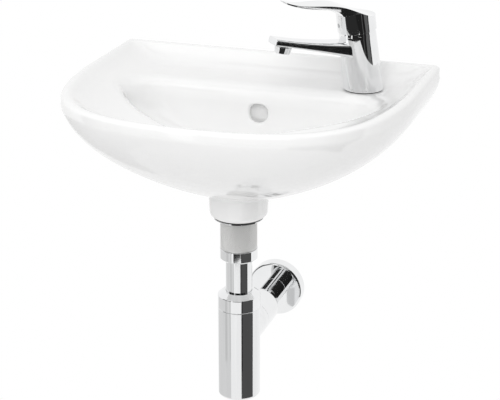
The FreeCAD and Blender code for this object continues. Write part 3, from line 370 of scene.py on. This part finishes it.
satin = finish("satin_knurl", (0.86, 0.86, 0.85), (0.78, 0.78, 0.77), 900.0, (0.35, 0.5), metal=0.6, wave=0.3)
sleeve_low, sleeve_high = (Vector(corner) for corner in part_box("waste_sleeve_nut"))
waste_axle = (sleeve_low + sleeve_high) / 2
knurl_proud = 0.0003
knurl_w = 0.0011
knurl_turn = 1.55
knurl_lines = 52
plain_end = 0.0025
sleeve_r = (sleeve_high.x - sleeve_low.x) / 2 - knurl_proud
sleeve_bore_r = 0.0211
sleeve = turned([(sleeve_bore_r, sleeve_low.z), (sleeve_r, sleeve_low.z), (sleeve_r, sleeve_high.z),
                 (sleeve_bore_r, sleeve_high.z)], waste_axle, 0.0006)
knurl_ends = (sleeve_low.z + plain_end, sleeve_high.z - plain_end)
for line in range(knurl_lines):
    for hand in (1.0, -1.0):
        wound_ridge(sleeve, waste_axle, sleeve_r, knurl_ends, math.tau * line / knurl_lines,
                    hand * knurl_turn, knurl_w, knurl_proud, 30)
piece("knurled_sleeve_nut", sleeve, "basin_set", "satin_metal", satin, "waste_sleeve_nut")

# Push-open plug: a chromed cap with a rubber seal on a steel stem, which slides in a moulded click unit.
# A moulded guide with four spokes holds the unit in the tail.
steel = finish("plated_steel", (0.62, 0.62, 0.62), (0.5, 0.5, 0.5), 180.0, (0.25, 0.4), metal=1.0, wave=0.05)
moulded = finish("moulded_white", (0.84, 0.84, 0.82), (0.76, 0.76, 0.74), 220.0, (0.4, 0.55), wave=0.05)
dress(chrome, "plug_cap")
dress(rubber, "plug_seal")
dress(steel, "plug_stem")
dress(moulded, "plug_guide", "plug_click_unit")

# Bottle trap: chromed brass tube and bottle, drawn and polished lengthwise, with turned nuts and a cup.
# Rubber seals sit under the nuts and the cup.
drawn = finish("drawn_chrome", (0.9, 0.905, 0.91), (0.74, 0.745, 0.75), 5.0, (0.03, 0.08), metal=1.0,
               stretch=(30.0, 30.0, 1.0))
dress(chrome, "trap_coupling_nut", "trap_top_nut")
dress(drawn, "trap_inlet_tube", "trap_bottle", "trap_cup")
dress(rubber, "trap_coupling_seal", "trap_top_seal", "trap_cup_seal")

# Outlet: a tapered nut draws the pipe into the trap's branch, and a rosette covers the hole in the wall.
# All three are chromed brass, the pipe polished along its length.
drawn_pipe = finish("drawn_chrome_pipe", (0.9, 0.905, 0.91), (0.74, 0.745, 0.75), 5.0, (0.03, 0.08),
                    metal=1.0, stretch=(30.0, 1.0, 30.0))
dress(chrome, "outlet_nut", "wall_rosette")
dress(drawn_pipe, "outlet_pipe")
dress(rubber, "outlet_seal")

# Tap body: one chromed brass casting of barrel and spout on a rubber gasket, with a dome ring on top.
# A horseshoe plate on a rubber pad and a long brass nut hold it from under the deck.
brass = finish("machined_brass", (0.76, 0.6, 0.32), (0.62, 0.47, 0.22), 160.0, (0.22, 0.36), metal=1.0,
               wave=0.05)
dress(chrome, "tap_body", "tap_dome_ring")
dress(rubber, "tap_foot_gasket", "tap_clamp_pad")
dress(steel, "tap_clamp_plate")
dress(brass, "tap_nut")

# Fixing stud: a steel rod with a rolled thread, screwed into the tap's foot.
# It pulls the tap down on the deck from below.
stud_low, stud_high = (Vector(corner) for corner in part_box("tap_stud"))
stud_axle = (stud_low + stud_high) / 2
stud_r = (stud_high.x - stud_low.x) / 2
thread_deep = 0.0006
pitch = 0.00125
core_r = stud_r - thread_deep
stud = turned([(0.0, stud_low.z), (core_r, stud_low.z), (core_r, stud_high.z), (0.0, stud_high.z)], stud_axle,
              0.0004, steps=32)
turns = (stud_high.z - stud_low.z) / pitch - 2
wound_ridge(stud, stud_axle, core_r, (stud_low.z + pitch, stud_high.z - pitch), 0.0, math.tau * turns, pitch,
            thread_deep, round(turns * 20))
piece("threaded_stud", stud, "basin_set", "steel", steel, "tap_stud")

# Ceramic cartridge: two lapped alumina discs in a moulded housing, held on its seals by a brass ring nut.
# A rotor turns the upper disc, and the lever's stem on its pin slides it.
alumina = finish("lapped_alumina", (0.94, 0.93, 0.89), (0.88, 0.87, 0.82), 300.0, (0.15, 0.25), wave=0.02)
dress(alumina, "fixed_disc", "moving_disc")
dress(moulded, "cartridge_base", "cartridge_housing", "cartridge_rotor", "disc_coupler")
dress(rubber, "cartridge_seals")
dress(brass, "cartridge_nut", "lever_stem")
dress(steel, "stem_pin")

# Lever: one chromed casting of cap and blade, its edges eased before plating so that they catch a thin line.
# A set screw behind a small grey cover clamps it on the stem.
lever = piece("lever_casting", merged_copy("lever"), "lever", "chrome", chrome, "lever")
eased = lever.modifiers.new("eased_edges", "BEVEL")
eased.width = 0.0006
eased.segments = 3
eased.limit_method = "ANGLE"
eased.angle_limit = math.radians(40.0)
true_faces = lever.modifiers.new("true_faces", "WEIGHTED_NORMAL")
true_faces.keep_sharp = True
grey = finish("grey_cover", (0.52, 0.53, 0.54), (0.44, 0.45, 0.46), 260.0, (0.2, 0.3), wave=0.03)
dress(grey, "lever_screw_cover")
dress(steel, "lever_set_screw")

# Aerator: a chromed housing screwed up into the spout's tip on a rubber seal, square to the rising spout.
# Its insert is a moulded ring filled with small square cells.
dress(chrome, "aerator_housing")
dress(rubber, "aerator_seal")
insert_low, insert_high = (Vector(corner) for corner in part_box("aerator_insert"))
spout_bearing = math.radians(-138.0)
spout_rise = math.radians(11.54)
insert_r = 0.0079
insert_t = 0.0068
rim_t = 0.001
cell_wall = 0.0002
insert = turned([(insert_r - rim_t, -insert_t / 2), (insert_r, -insert_t / 2), (insert_r, insert_t / 2),
                 (insert_r - rim_t, insert_t / 2)], (0.0, 0.0), 0.0002, steps=48)
grid = bmesh.ops.create_grid(insert, x_segments=13, y_segments=13, size=insert_r)
squares = list({face for spot in grid["verts"] for face in spot.link_faces})
outer = [face for face in squares if face.calc_center_median().length > insert_r - rim_t]
squares = [face for face in squares if face not in outer]
bmesh.ops.delete(insert, geom=outer, context="FACES")
walls = bmesh.ops.inset_individual(insert, faces=squares, thickness=cell_wall)["faces"]
bmesh.ops.delete(insert, geom=squares, context="FACES")
bmesh.ops.solidify(insert, geom=walls, thickness=insert_t / 2)
tilt = Matrix.Rotation(spout_bearing, 4, "Z") @ Matrix.Rotation(-spout_rise, 4, "Y")
seat = Matrix.Translation((insert_low + insert_high) / 2)
bmesh.ops.transform(insert, matrix=seat @ tilt, verts=insert.verts)
piece("aerator_cells", insert, "basin_set", "plastic", moulded, "aerator_insert")
